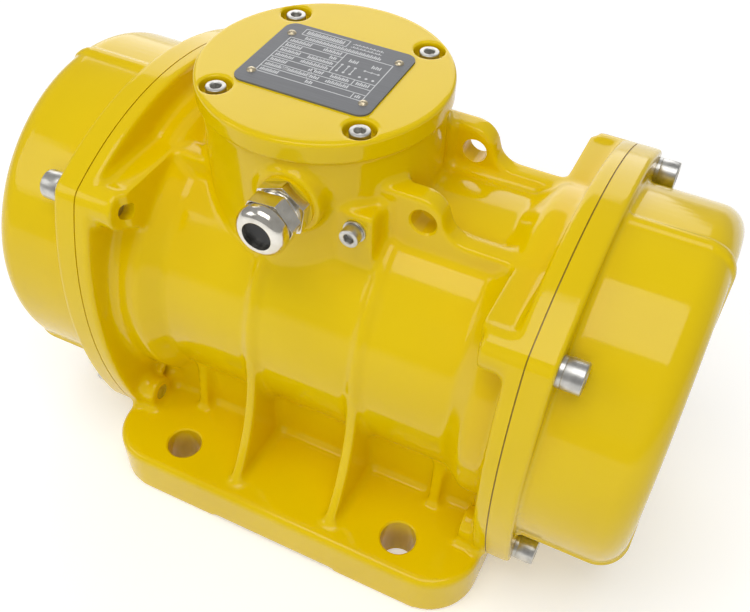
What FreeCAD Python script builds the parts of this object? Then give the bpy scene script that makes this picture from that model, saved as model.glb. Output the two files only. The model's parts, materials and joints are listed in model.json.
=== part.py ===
import FreeCAD, Part
import math
import os
import re
import Sketcher
from FreeCAD import Placement, Rotation, Vector

# Vibration motor: a squirrel-cage motor whose shaft carries an eccentric weight pair at each end.
# Millimetres. X runs along the shaft, +Y to the back, +Z up. The origin is the centre of the
# four foot holes, on the underside of the foot plate.

SIZES = {
    # overall and feet
    "foot_clear": 5, "foot_length": 197, "foot_margin": 18, "foot_thick": 25,
    "foot_corner": 25, "foot_edge": 3, "foot_hole_r": 8.5, "foot_pitch_x": 120,
    "foot_pitch_y": 170, "relief_half": 34, "relief_depth": 1.8,
    # housing tube, shoulders and end flanges
    "tube_r": 66.5, "bore_r": 57.5, "shoulder_r": 76, "shoulder_start": 79.5,
    "flange_start": 93.5, "flange_face": 100, "top_lip": 4.9, "side_lip": 3.8,
    "register_r": 68, "register_start": 82, "cast_blend": 6, "edge_round": 1.5,
    # pedestal and ribs between tube and foot plate
    "pedestal_half": 54, "rib_thick": 5.2, "rib_pitch": 52, "rib_shift": 1.3,
    "rib_proud": 3.8, "rib_blend": 2.5, "rib_round": 2, "rib_margin": 8,
    "small_rib_pitch": 131, "small_rib_foot": 62.5, "small_rib_top": 56,
    "small_rib_drop": 35.5, "foot_overlap": 5,
    # cover screws, on the ears of both flanges
    "screw_out": 7.144, "screw_angle": 42.41, "ear_r": 9.5, "ear_back": 85, "low_boss_r": 8,
    "m8_head_r": 6.5, "m8_head": 8, "m8_r": 4, "m8_hole_r": 4.5, "m8_key": 6,
    "m8_length": 26, "washer_r": 6.4, "washer_thick": 1.8,
    # top walls and lifting lugs
    "wall_inner": 22, "wall_outer": 32, "wall_rise": 70.1, "lug_rise": 17.4, "lug_x": 37.5,
    "lug_hole_x": 39.7, "lug_r": 11.2, "lug_hole_r": 5.6, "lug_sweep": 10,
    # terminal box and lid
    "term_x": -20.7, "term_r": 51.6, "term_rise": 101.5, "term_bore_r": 46.5,
    "floor_rise": 71.5, "lid_r": 53.8, "seal_thick": 0.7, "lid_thick": 9.2,
    "lid_screw_at": 45.5, "lid_screw_turn": 45, "lid_boss_r": 6.5, "lid_sink_r": 6.6,
    "lid_sink": 5.6, "lid_spigot": 2, "lid_edge": 1.5, "m5_head_r": 4.25, "m5_head": 5, "m5_r": 2.5,
    "m5_hole_r": 2.8, "m5_key": 4, "m5_length": 14, "duct_x": -50, "duct_r": 7,
    "clearance": 0.05, "fit": 0.02, "thread_depth": 16,
    # nameplate
    "plate_x": -20, "plate_y": -1, "plate_length": 61, "plate_width": 49.2,
    "plate_thick": 0.8, "plate_corner": 5, "rivet_x": 25.3, "rivet_y": 16.4,
    "rivet_r": 2, "rivet_shank": 1.2, "rivet_head": 1.1,
    # cable gland
    "gland_x": -9.5, "gland_rise": 83.5, "gland_face": 53.5, "gland_boss_r": 14.5,
    "gland_thread_r": 10, "gland_ring": 1.2, "gland_hex": 21, "gland_hex_thick": 5,
    "gland_hex_turn": 20, "gland_nut_turn": 5, "gland_neck_r": 9.4, "gland_neck": 3,
    "gland_thread": 1.5, "gland_thread_deep": 0.7, "gland_nut_hex": 7, "gland_nut_dome": 6,
    "gland_groove": 0.9, "gland_groove_r": 9.9, "gland_dome_r": 11, "gland_round": 4.2,
    "gland_mouth_r": 6.3, "gland_bore_r": 7.2, "gland_sink": 2.2, "gland_plug_thick": 3,
    "gland_root": 11, "gland_seal": 4, "gland_seal_r": 8.6,
    # earth screw
    "earth_x": 15.6, "earth_rise": 71.8, "earth_face": 44, "earth_boss": 16,
    "earth_washer_r": 5, "earth_washer_thick": 1,
    # weight covers
    "cover_r": 83.6, "cover_wall": 4, "cover_end": 157, "cover_round": 12.7,
    "cover_flange": 111.5, "gasket_thick": 0.6, "gasket_inset": 0.7, "bead_width": 4,
    "bead_proud": 1.2, "cover_spigot": 1.5, "cover_web": 3, "spigot_wall": 4,
    # motor inside
    "stator_half": 42, "stator_bore_r": 31, "winding_out": 65, "winding_r_in": 34,
    "winding_r_out": 55, "rotor_r": 30.6, "rotor_bore_r": 18, "ring_out": 52,
    "ring_r_in": 21, "ring_r_out": 29.5,
    # shaft and bearings
    "shaft_bearing_r": 15, "shaft_weight_r": 12.5, "shaft_end": 148,
    "bearing_start": 79, "bearing_width": 19, "bearing_r": 36, "race_in_r": 20.25,
    "race_out_r": 31.25, "race_lip_r": 29, "race_lip": 3.6, "roller_r": 5.42,
    "roller_length": 11.6, "roller_at": 25.75, "cage_in_r": 23.6, "cage_out_r": 27.9,
    "cage_half": 8.4, "pocket_r": 5.58,
    # bearing shields and their covers
    "shield_thick": 11, "hub_r": 46, "hub_start": 74, "hub_end": 100, "lip_r": 31,
    "shield_screw_at": 63, "shield_screw_turn": 30, "bcover_thick": 5, "bcover_bore_r": 19.4,
    "bcover_screw_at": 41, "m4_head_r": 3.5, "m4_head": 4, "m4_r": 2, "m4_hole_r": 2.25,
    "m4_key": 3, "m4_length": 12, "m5_shield": 16,
    # eccentric weights
    "seat_start": 110.5, "weight_thick": 15, "weight_gap": 0.5, "weight_r": 70,
    "weight_angle": 160, "weight_hub_r": 22, "slit_width": 3, "clamp_z": 23.5,
    "clamp_half": 12.5, "clamp_height": 32, "key_width": 6, "key_height": 2.4,
    "clip_thick": 1.5, "clip_r": 16.5, "clip_groove": 0.9,
    # terminal board
    "board_length": 52, "board_width": 34, "board_thick": 5, "board_pad": 2,
    "board_pad_r": 4.5, "board_screw": 21.5, "stud_pitch": 14, "stud_row": 9,
    "stud_length": 17, "link_thick": 1, "link_width": 7, "nut_hex": 7, "nut_height": 3.2,
    "lead_r": 1.3, "lead_step": 3.9, "lead_bend": 3.9,
    # where the casting is divided into simpler solids
    "division_gap": 0.5, "division_rise": 41.5,
}

# Sizes that follow from others: the covers set the flanges, their screws and the shaft's
# height, and what stands on the housing is measured from the shaft.
FOLLOWING = {
    "flange_top": "cover_r + top_lip", "flange_side": "cover_r + side_lip",
    "screw_y": "(cover_r + screw_out) * cos(screw_angle)",
    "screw_z": "(cover_r + screw_out) * sin(screw_angle)",
    "axis_height": "flange_top + foot_clear", "foot_width": "foot_pitch_y + 2 * foot_margin",
    "rib_foot": "foot_width / 2 - rib_margin",
    "small_rib_height": "axis_height - small_rib_drop",
    "wall_top": "axis_height + wall_rise", "lug_top": "wall_top + lug_rise",
    "lug_z": "lug_top - lug_r", "term_top": "axis_height + term_rise",
    "term_floor": "axis_height + floor_rise", "lid_under": "term_top + seal_thick",
    "lid_top": "lid_under + lid_thick", "lid_seat": "lid_top - lid_sink",
    "gland_z": "axis_height + gland_rise", "earth_z": "axis_height + earth_rise",
}

doc = FreeCAD.newDocument("vibration_motor")
sheet = doc.addObject("Spreadsheet::Sheet", "Sizes")
for row, (alias, number) in enumerate(SIZES.items(), start=1):
    sheet.set(f"A{row}", alias)
    sheet.set(f"B{row}", str(number))
    sheet.setAlias(f"B{row}", alias)
for row, (alias, formula) in enumerate(FOLLOWING.items(), start=len(SIZES) + 1):
    sheet.set(f"A{row}", alias)
    sheet.setAlias(f"B{row}", alias)
    sheet.set(f"B{row}", "=" + formula)
doc.recompute()
NAMES = set(SIZES) | set(FOLLOWING)

nodes = []
counter = {}
# What fastens and seals both ends alike is gathered here, one node for both ends.
pairs = {"cover_screws": [], "cover_washers": [], "cover_gaskets": [], "shield_screws": [],
         "bearing_cover_screws": []}


def bound(text):
    """Turn words such as 'cover_r - cover_wall' into an expression on the sheet."""
    return re.sub(r"[a-z]\w*", lambda word: ("Sizes." if word.group(0) in NAMES else "")
                  + word.group(0), str(text))


def value(text):
    """The present number behind an expression."""
    return float(sheet.evalExpression(bound(text)))


def fresh(name):
    """A free object name, so that loops can reuse a plain word."""
    counter[name] = counter.get(name, 0) + 1
    return f"{name}_{counter[name]}"


def place(obj, at, turn=None):
    """Bind the object's place to the sheet and turn it by a fixed rotation."""
    if turn is not None:
        obj.Placement = Placement(Vector(), turn)
    for letter, text in zip("xyz", at):
        obj.setExpression(f"Placement.Base.{letter}", bound(text))
    return obj


def bind(obj, **sizes):
    for name, text in sizes.items():
        obj.setExpression(name, bound(text))
    return obj


TURNS = {
    "x": Rotation(Vector(0, 1, 0), 90), "-x": Rotation(Vector(0, 1, 0), -90),
    "y": Rotation(Vector(1, 0, 0), -90), "-y": Rotation(Vector(1, 0, 0), 90),
    "z": Rotation(), "-z": Rotation(Vector(1, 0, 0), 180),
}
OUTWARD = {-1: "-x", 1: "x"}
SIDES = {-1: "left", 1: "right"}


def cylinder(name, radius, length, at, axis="z"):
    obj = doc.addObject("Part::Cylinder", fresh(name))
    bind(obj, Radius=radius, Height=length)
    return place(obj, at, TURNS[axis])


def hexagon(name, across_flats, length, at, axis="z", spin="0"):
    obj = doc.addObject("Part::Prism", fresh(name))
    obj.Polygon = 6
    bind(obj, Circumradius=f"({across_flats}) / sqrt(3)", Height=length)
    return place(obj, at, TURNS[axis] * Rotation(Vector(0, 0, 1), value(spin)))


def block(name, length, width, height, at):
    obj = doc.addObject("Part::Box", fresh(name))
    bind(obj, Length=length, Width=width, Height=height)
    return place(obj, at)


def fuse(name, *parts):
    obj = doc.addObject("Part::MultiFuse", fresh(name))
    obj.Shapes = list(parts)
    return obj


def cut(name, base, *tools):
    obj = doc.addObject("Part::Cut", fresh(name))
    obj.Base = base
    obj.Tool = tools[0] if len(tools) == 1 else fuse(name + "_tools", *tools)
    return obj


def common(name, *parts):
    obj = doc.addObject("Part::MultiCommon", fresh(name))
    obj.Shapes = list(parts)
    return obj


def group(name, *parts):
    obj = doc.addObject("Part::Compound", fresh(name))
    obj.Links = list(parts)
    return obj


def node(label, obj):
    """Name a finished piece, which is written to its own file."""
    obj.Label = label
    nodes.append(obj)
    return obj


def sketch_on(body, plane, points, arcs):
    """A closed outline whose corners are bound to the sheet. arcs gives an edge's radius and
    side: 1 bulges to the right of the way that the edge runs, -1 to the left."""
    sketch = body.newObject("Sketcher::SketchObject", fresh("Outline"))
    origin = [part for part in body.Origin.OriginFeatures if part.Role == plane][0]
    sketch.AttachmentSupport = [(origin, "")]
    sketch.MapMode = "FlatFace"
    spots = [Vector(value(u), value(v), 0) for u, v in points]
    count = len(spots)
    for i, start in enumerate(spots):
        end = spots[(i + 1) % count]
        if i in arcs:
            radius, side = value(arcs[i][0]), arcs[i][1]
            chord = end - start
            across = Vector(-chord.y, chord.x, 0).normalize()
            rise = math.sqrt(max(radius ** 2 - (chord.Length / 2) ** 2, 0))
            centre = (start + end) / 2 + across * rise * side
            middle = centre - across * radius * side
            sketch.addGeometry(Part.Arc(start, middle, end), False)
        else:
            sketch.addGeometry(Part.LineSegment(start, end), False)
    ends = []
    for i, start in enumerate(spots):
        # an arc may be stored with its ends swapped, so each end is found by its place
        first = sketch.getPoint(i, 1)
        ends.append((1, 2) if (first - start).Length < 1e-6 else (2, 1))
    for i in range(count):
        after = (i + 1) % count
        sketch.addConstraint(Sketcher.Constraint("Coincident", i, ends[i][1],
                                                 after, ends[after][0]))
    for i, (u, v) in enumerate(points):
        for kind, text in (("DistanceX", u), ("DistanceY", v)):
            word = kind[-1].lower() + str(i)
            index = sketch.addConstraint(Sketcher.Constraint(kind, -1, 1, i, ends[i][0],
                                                             value(text)))
            sketch.renameConstraint(index, word)
            sketch.setExpression(f"Constraints.{word}", bound(text))
    for i, (radius, _) in arcs.items():
        index = sketch.addConstraint(Sketcher.Constraint("Radius", i, value(radius)))
        sketch.renameConstraint(index, f"r{i}")
        sketch.setExpression(f"Constraints.r{i}", bound(radius))
    return sketch


UPWARD = Rotation(Vector(0, 1, 0), -90)
FORWARD = Rotation(Vector(0, 0, 1), -90)


def turned(name, points, at=("0", "0", "axis_height"), turn_to=None):
    """A turned piece. Points are (along the axis, radius), and the axis is the shaft's unless
    it is turned to point upward or forward."""
    body = doc.addObject("PartDesign::Body", fresh(name))
    sketch = sketch_on(body, "XZ_Plane", points, {})
    turn = body.newObject("PartDesign::Revolution", fresh("Turn"))
    turn.Profile = sketch
    turn.ReferenceAxis = (sketch, ["H_Axis"])
    turn.Angle = 360
    return place(body, at, turn_to)


def ring(name, side, near, far, inner, outer):
    """A plain ring about the shaft between two distances from the middle."""
    return turned(name, [(f"{side} * ({near})", inner), (f"{side} * ({far})", inner),
                         (f"{side} * ({far})", outer), (f"{side} * ({near})", outer)])


def padded(name, plane, points, length, at, arcs=None, turn=None):
    """A piece of one outline and one thickness, placed by its body."""
    body = doc.addObject("PartDesign::Body", fresh(name))
    sketch = sketch_on(body, plane, points, arcs or {})
    pad = body.newObject("PartDesign::Pad", fresh("Pad"))
    pad.Profile = sketch
    bind(pad, Length=length)
    return place(body, at, turn)


def rounded(body, radius, wanted):
    """Round the edges of a body that the test picks."""
    doc.recompute()
    base = body.Tip
    names = [f"Edge{i}" for i, edge in enumerate(base.Shape.Edges, start=1) if wanted(edge)]
    fillet = body.newObject("PartDesign::Fillet", fresh("Round"))
    fillet.Base = (base, names)
    bind(fillet, Radius=radius)
    return body


def is_circle(edge, radius, along=None):
    """True for a whole circle of this radius, at this distance along X if one is given."""
    if not hasattr(edge.Curve, "Radius") or len(edge.Vertexes) != 1:
        return False
    near = abs(edge.Curve.Radius - value(radius)) < 1e-3
    return near and (along is None or abs(edge.Curve.Center.x - value(along)) < 1e-3)


def socket_screw(name, at, axis, head_r, head, shank_r, length, key):
    """A socket head cap screw. Its seat is at the place given and its head goes along the
    axis, its shank the other way."""
    back = {"x": "-x", "-x": "x", "y": "-y", "-y": "y", "z": "-z", "-z": "z"}[axis]
    step = {"x": (1, 0, 0), "y": (0, 1, 0), "z": (0, 0, 1)}[axis[-1]]
    sign = -1 if axis[0] == "-" else 1
    floor = [f"({spot}) + {sign * part} * ({head}) * 0.45" for spot, part in zip(at, step)]
    body = fuse(name, cylinder(name + "_head", head_r, head, at, axis),
                cylinder(name + "_shank", shank_r, length, at, back))
    return cut(name, body, hexagon(name + "_key", key, head, floor, axis))


# The housing casting

def flange_outline(inset="0"):
    """The bulged square of both flanges: eight arcs, round the ears at the screws."""
    top_r = ("((screw_y^2 + (flange_top - screw_z)^2 - ear_r^2)"
             " / (2 * (flange_top - screw_z - ear_r)))")
    side_r = ("((screw_z^2 + (flange_side - screw_y)^2 - ear_r^2)"
              " / (2 * (flange_side - screw_y - ear_r)))")
    top_share = f"(({top_r} - {inset}) / ({top_r} - ear_r))"
    side_share = f"(({side_r} - {inset}) / ({side_r} - ear_r))"
    top_y = f"screw_y * {top_share}"
    top_z = f"(flange_top - {top_r} + (screw_z - flange_top + {top_r}) * {top_share})"
    side_y = f"(flange_side - {side_r} + (screw_y - flange_side + {side_r}) * {side_share})"
    side_z = f"screw_z * {side_share}"
    points = [(side_y, f"-{side_z}"), (side_y, side_z), (top_y, top_z), (f"-{top_y}", top_z),
              (f"-{side_y}", side_z), (f"-{side_y}", f"-{side_z}"), (f"-{top_y}", f"-{top_z}"),
              (top_y, f"-{top_z}")]
    radii = [side_r, "ear_r", top_r, "ear_r"] * 2
    return points, {i: (f"{radius} - {inset}", 1) for i, radius in enumerate(radii)}


def flange(name, side, near, far, inset="0"):
    points, arcs = flange_outline(inset)
    start = near if side > 0 else f"-({far})"
    return padded(name, "YZ_Plane", points, f"{far} - ({near})", (start, "0", "axis_height"),
                  arcs)


def round_outer_rim(body, radius, x):
    """Round the rim of a flange's one face, where the rounding shows."""
    return rounded(body, radius, lambda edge: all(abs(corner.X - x) < 1e-6
                                                  for corner in edge.Vertexes))


def at_screws(side, x):
    """The four places of the cover screws at one end."""
    return [(f"{side} * ({x})", f"{across} * screw_y", f"axis_height + {up} * screw_z")
            for across in (-1, 1) for up in (-1, 1)]


def around(count, radius, first="0"):
    """The steps from the middle to the places of a circle of holes, as expression texts."""
    steps = [math.radians(value(first) + 360 * i / count) for i in range(count)]
    return [(f"({radius} * {math.cos(step):.9f})", f"({radius} * {math.sin(step):.9f})")
            for step in steps]


RIB_PLACES = ["rib_shift - rib_pitch / 2", "rib_shift + rib_pitch / 2"]
RIB_R = "(tube_r + rib_proud)"
FOOT_LEVEL = "(foot_thick - foot_overlap)"


def housing_tube():
    """The round tube with its shoulders and two ring ribs, turned as one."""
    points = [("-flange_face", "0"), ("flange_face", "0"), ("flange_face", "shoulder_r"),
              ("shoulder_start", "shoulder_r"), ("shoulder_start", "tube_r")]
    for place_x in reversed(RIB_PLACES):
        near, far = f"{place_x} - rib_thick / 2", f"{place_x} + rib_thick / 2"
        points += [(far, "tube_r"), (far, RIB_R), (near, RIB_R), (near, "tube_r")]
    points += [("-shoulder_start", "tube_r"), ("-shoulder_start", "shoulder_r"),
               ("-flange_face", "shoulder_r")]
    body = turned("tube", points)
    for side in SIDES:
        rounded(body, "cast_blend",
                lambda edge: is_circle(edge, "tube_r", f"{side} * shoulder_start"))
    rib_sides = [f"{place_x} + {half} * rib_thick / 2" for place_x in RIB_PLACES
                 for half in (-1, 1)]
    rounded(body, "rib_blend", lambda edge: any(is_circle(edge, "tube_r", x) for x in rib_sides))
    rounded(body, "rib_round", lambda edge: any(is_circle(edge, RIB_R, x) for x in rib_sides))
    return rounded(body, "rib_blend", lambda edge: any(
        is_circle(edge, "shoulder_r", f"{side} * shoulder_start") for side in SIDES))


def foot_plate():
    half_x, half_y = "foot_length / 2", "foot_width / 2"
    corners = [(f"-{half_x}", f"-{half_y}"), (half_x, f"-{half_y}"), (half_x, half_y),
               (f"-{half_x}", half_y)]
    body = padded("foot", "XY_Plane", corners, "foot_thick", ("0", "0", "0"))
    rounded(body, "foot_corner", lambda edge: abs(edge.tangentAt(edge.FirstParameter).z) > 0.9)
    top = value("foot_thick")
    return rounded(body, "foot_edge", lambda edge: all(abs(corner.Z - top) < 1e-6
                                                       for corner in edge.Vertexes))


def big_rib(place_x):
    """A web that flares from the ring rib down to the edge of the foot plate."""
    drop = "(axis_height - foot_thick)"
    spread = f"(rib_foot - {RIB_R})"
    flare = f"({spread}^2 + {drop}^2) / (2 * {spread})"
    sunk = f"-({drop} + foot_overlap)"
    points = [(RIB_R, "0"), ("rib_foot", f"-{drop}"), ("rib_foot", sunk), ("-rib_foot", sunk),
              ("-rib_foot", f"-{drop}"), (f"-{RIB_R}", "0")]
    return padded("big_rib", "YZ_Plane", points, "rib_thick",
                  (f"{place_x} - rib_thick / 2", "0", "axis_height"),
                  {0: (flare, 1), 4: (flare, 1)})


def small_rib(side):
    points = [("small_rib_foot", FOOT_LEVEL), ("small_rib_top", "small_rib_height"),
              ("-small_rib_top", "small_rib_height"), ("-small_rib_foot", FOOT_LEVEL)]
    return padded("small_rib", "YZ_Plane", points, "rib_thick",
                  (f"rib_shift + {side} * small_rib_pitch / 2 - rib_thick / 2", "0", "0"))


def top_wall(back_y):
    """One of the two walls along the top, with a lifting lug on the box's right."""
    reach = "(lug_r + lug_sweep)"
    rise = "(wall_top + lug_sweep - lug_z)"
    run = f"sqrt({reach}^2 - {rise}^2)"
    points = [("-flange_start", "axis_height"), ("-flange_start", "wall_top"),
              ("term_x", "wall_top"), ("term_x", "lug_top"), ("lug_x", "lug_top"),
              (f"lug_x + lug_r * {run} / {reach}", f"lug_z + lug_r * {rise} / {reach}"),
              (f"lug_x + {run}", "wall_top"), ("flange_start", "wall_top"),
              ("flange_start", "axis_height")]
    body = padded("top_wall", "XZ_Plane", points, "wall_outer - wall_inner",
                  ("0", back_y, "0"), {4: ("lug_r", -1), 5: ("lug_sweep", 1)})
    low = value("wall_top") - 1e-6
    return rounded(body, "edge_round", lambda edge: all(corner.Z > low
                                                        for corner in edge.Vertexes)
                   and abs(edge.tangentAt(edge.FirstParameter).y) < 0.5)


def top_band(side):
    """The flat web behind a flange that joins the walls to the upper ears."""
    high, low = "wall_top - axis_height", "screw_z - ear_r"
    points = [("screw_y", low), ("screw_y", high), ("-screw_y", high), ("-screw_y", low),
              ("-wall_outer", "wall_outer"), ("wall_outer", "wall_outer")]
    start = "shoulder_start" if side > 0 else "-flange_start"
    return padded("top_band", "YZ_Plane", points, "flange_start - shoulder_start",
                  (start, "0", "axis_height"))


def ears(side):
    """The bosses behind a flange that the cover screws run into."""
    made = []
    for (x, y, z), radius in zip(at_screws(side, "ear_back"),
                                 ["low_boss_r", "ear_r"] * 2):
        made.append(cylinder("ear", radius, "flange_face - ear_back", (x, y, z), OUTWARD[side]))
    return made


def terminal_places(radius):
    return [(f"term_x + {a}", b) for a, b in around(4, radius, "lid_screw_turn")]


def terminal_cavity():
    """The room for the terminals, less the bosses that stand in it."""
    room = cylinder("room", "term_bore_r", "term_top - term_floor + 1",
                    ("term_x", "0", "term_floor"))
    bosses = [cylinder("lid_boss", "lid_boss_r", "term_top - term_floor", (x, y, "term_floor"))
              for x, y in terminal_places("lid_screw_at")]
    pads = [cylinder("board_pad", "board_pad_r", "board_pad",
                     (f"term_x + {side} * board_screw", "0", "term_floor")) for side in SIDES]
    return cut("room", room, *bosses, *pads)


def earth_boss():
    """A square boss on the front of the box, rounded at its top corners and its front."""
    half, foot = "earth_boss / 2", "axis_height"
    points = [(f"earth_x - {half}", foot), (f"earth_x - {half}", f"earth_z + {half}"),
              (f"earth_x + {half}", f"earth_z + {half}"), (f"earth_x + {half}", foot)]
    body = padded("earth_boss", "XZ_Plane", points, "earth_face - wall_inner",
                  ("0", "-wall_inner", "0"))
    low, front = value(foot) + 1e-6, value("wall_inner - earth_face") + 1e-6
    rounded(body, "rib_blend", lambda edge: abs(edge.tangentAt(edge.FirstParameter).y) > 0.9
            and min(corner.Z for corner in edge.Vertexes) > low)
    return rounded(body, "edge_round", lambda edge: max(
        corner.Y for corner in edge.Vertexes) < front
                   and max(corner.Z for corner in edge.Vertexes) > low)


def motor_housing():
    solid = [housing_tube(), foot_plate()]
    solid.append(block("pedestal", "2 * flange_start", "2 * pedestal_half",
                       f"axis_height - {FOOT_LEVEL}",
                       ("-flange_start", "-pedestal_half", FOOT_LEVEL)))
    solid += [big_rib(place_x) for place_x in RIB_PLACES]
    solid += [small_rib(side) for side in SIDES]
    solid += [top_wall("-wall_inner"), top_wall("wall_outer")]
    for side in SIDES:
        plate = flange("end_flange", side, "flange_start", "flange_face")
        solid.append(round_outer_rim(plate, "edge_round",
                                     0 if side > 0 else value("flange_face - flange_start")))
        solid.append(top_band(side))
        solid += ears(side)
    solid.append(cylinder("term_box", "term_r", "term_top - axis_height",
                          ("term_x", "0", "axis_height")))
    solid.append(cylinder("gland_boss", "gland_boss_r", "gland_face - wall_inner",
                          ("gland_x", "-wall_inner", "gland_z"), "-y"))
    solid.append(earth_boss())
    bore = turned("bore", [
        ("-flange_face - 1", "0"), ("flange_face + 1", "0"), ("flange_face + 1", "register_r"),
        ("register_start", "register_r"), ("register_start", "bore_r"),
        ("-register_start", "bore_r"), ("-register_start", "register_r"),
        ("-flange_face - 1", "register_r")])
    tools = [bore, terminal_cavity()]
    tools.append(block("relief", "2 * relief_half", "foot_width + 2", "relief_depth + 1",
                       ("-relief_half", "-foot_width / 2 - 1", "-1")))
    tools += [cylinder("foot_hole", "foot_hole_r", "foot_thick + 2",
                       (f"{a} * foot_pitch_x / 2", f"{b} * foot_pitch_y / 2", "-1"))
              for a in SIDES for b in SIDES]
    tools.append(cylinder("lug_hole", "lug_hole_r", "2 * wall_outer + 2",
                          ("lug_hole_x", "-wall_outer - 1", "lug_z"), "y"))
    for side in SIDES:
        tools += [cylinder("ear_hole", "m8_r + clearance", "flange_face - ear_back + 2", place_x,
                           OUTWARD[side]) for place_x in at_screws(side, "ear_back - 1")]
        tools += [cylinder("shield_hole", "m5_r + clearance", "thread_depth",
                           (f"{side} * (register_start - thread_depth + 4)", a,
                            f"axis_height + {b}"), OUTWARD[side])
                  for a, b in around(6, "shield_screw_at", "shield_screw_turn")]
    tools += [cylinder("lid_hole", "m5_r + clearance", "thread_depth + 1",
                       (x, y, "term_top - thread_depth"))
              for x, y in terminal_places("lid_screw_at")]
    tools += [cylinder("board_hole", "m4_r + clearance", "board_pad + 4",
                       (f"term_x + {side} * board_screw", "0", "term_floor - 3"))
              for side in SIDES]
    tools.append(cylinder("duct", "duct_r", "term_floor - axis_height",
                          ("duct_x", "0", "axis_height + 1")))
    tools.append(cylinder("gland_hole", "gland_thread_r + clearance", "gland_face - wall_outer",
                          ("gland_x", "-wall_outer", "gland_z"), "-y"))
    tools.append(cylinder("earth_hole", "m5_r + clearance", "thread_depth",
                          ("earth_x", "thread_depth - earth_face", "earth_z"), "-y"))
    divided(cut("casting", fuse("casting_form", *solid), *tools))


def divided(casting):
    """The casting as simpler solids that meet face to face at flat cuts, so that its
    collision can stay open between the ribs, between the lugs and in the terminal box."""
    far_x, far_y, far_z = "(flange_face + 1)", "(foot_width / 2 + 1)", "(term_top + 1)"
    end = "(shoulder_start - cast_blend - division_gap)"
    box_end = "(term_x + term_r + division_gap)"
    high = "(axis_height + division_rise)"
    rooms = {
        "foot_plate": (f"-{far_x}", far_x, "-1", "foot_thick"),
        "end_frame_left": (f"-{far_x}", f"-{end}", "foot_thick", far_z),
        "end_frame_right": (end, far_x, "foot_thick", far_z),
        "housing_ribs": (f"-{end}", end, "foot_thick", "axis_height"),
        "motor_housing": (f"-{end}", end, "axis_height", high),
        "terminal_box": (f"-{end}", box_end, high, far_z),
        "lifting_lugs": (box_end, end, high, far_z),
    }
    for name, (low_x, high_x, low_z, high_z) in rooms.items():
        room = block("division", f"{high_x} - ({low_x})", f"2 * {far_y}",
                     f"{high_z} - ({low_z})", (low_x, f"-{far_y}", low_z))
        node(name, common(name, casting, room))


# Weight covers and what fastens them

def weight_cover(side, word):
    near = "flange_face + gasket_thick"
    end_in = "cover_end - cover_wall"
    shell = turned("cover", [(f"{side} * ({near})", "0"), (f"{side} * cover_end", "0"),
                             (f"{side} * cover_end", "cover_r"),
                             (f"{side} * ({near})", "cover_r")])
    rounded(shell, "cover_round",
            lambda edge: is_circle(edge, "cover_r", f"{side} * cover_end"))
    bead_form = turned("bead_form", [
        (f"{side} * cover_flange", "0"), (f"{side} * (cover_end + bead_proud)", "0"),
        (f"{side} * (cover_end + bead_proud)", "cover_r + bead_proud"),
        (f"{side} * cover_flange", "cover_r + bead_proud")])
    rounded(bead_form, "cover_round + bead_proud", lambda edge: is_circle(
        edge, "cover_r + bead_proud", f"{side} * (cover_end + bead_proud)"))
    slabs = []
    for angle in (0, 120, 240):
        points = [("-bead_width / 2", "0"), ("bead_width / 2", "0"),
                  ("bead_width / 2", "cover_r + 2 * bead_proud"),
                  ("-bead_width / 2", "cover_r + 2 * bead_proud")]
        start = "cover_flange" if side > 0 else "-cover_end - 2 * bead_proud"
        slabs.append(padded("slab", "YZ_Plane", points,
                            "cover_end + 2 * bead_proud - cover_flange",
                            (start, "0", "axis_height"), turn=Rotation(Vector(1, 0, 0), angle)))
    beads = common("beads", bead_form, fuse("slabs", *slabs))
    plate = flange("cover_plate", side, near, "cover_flange")
    round_outer_rim(plate, "edge_round", value(f"cover_flange - ({near})") if side > 0 else 0)
    cavity = turned("cover_room", [
        (f"{side} * ({near} - 1)", "0"), (f"{side} * ({end_in})", "0"),
        (f"{side} * ({end_in})", "cover_r - cover_wall"),
        (f"{side} * ({near} - 1)", "cover_r - cover_wall")])
    rounded(cavity, "cover_round - cover_wall",
            lambda edge: is_circle(edge, "cover_r - cover_wall", f"{side} * ({end_in})"))
    holes = [cylinder("cover_hole", "m8_hole_r", "cover_flange - flange_face + 2", spot,
                      OUTWARD[side]) for spot in at_screws(side, f"{near} - 1")]
    holes += [cylinder("screw_room", "m8_head_r + 4 * clearance", "m8_head + washer_thick + 1",
                       spot, OUTWARD[side]) for spot in at_screws(side, "cover_flange")]
    hollow = cut("cover_shell", fuse("cover_full", shell, beads, plate), cavity, *holes)
    web = ring("cover_web", side, near, f"{near} + cover_web", "register_r - spigot_wall",
               "cover_r - cover_wall / 2")
    spigot = ring("spigot", side, "flange_face - cover_spigot", f"{near} + cover_web",
                  "register_r - spigot_wall", "register_r - clearance")
    node(f"weight_cover_{word}", fuse("weight_cover", hollow, web, spigot))


def cover_fasteners(side):
    screws = [socket_screw("cover_screw", spot, OUTWARD[side], "m8_head_r", "m8_head", "m8_r",
                           "m8_length", "m8_key")
              for spot in at_screws(side, "cover_flange + washer_thick")]
    pairs["cover_screws"] += screws
    washers = [cut("washer", cylinder("disc", "washer_r", "washer_thick", spot, OUTWARD[side]),
                   cylinder("disc_hole", "m8_r + clearance", "washer_thick + 2", behind,
                            OUTWARD[side]))
               for spot, behind in zip(at_screws(side, "cover_flange"),
                                       at_screws(side, "cover_flange - 1"))]
    pairs["cover_washers"] += washers
    gasket = flange("gasket", side, "flange_face", "flange_face + gasket_thick", "gasket_inset")
    holes = [cylinder("gasket_hole", "m8_hole_r", "gasket_thick + 2", spot, OUTWARD[side])
             for spot in at_screws(side, "flange_face - 1")]
    holes.append(ring("gasket_room", side, "flange_face - 1", "flange_face + gasket_thick + 1",
                      "0", "cover_r - cover_wall"))
    pairs["cover_gaskets"].append(cut("cover_gasket", gasket, *holes))


# Bearings, their shields and covers

BEARING_END = "(bearing_start + bearing_width)"


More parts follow.
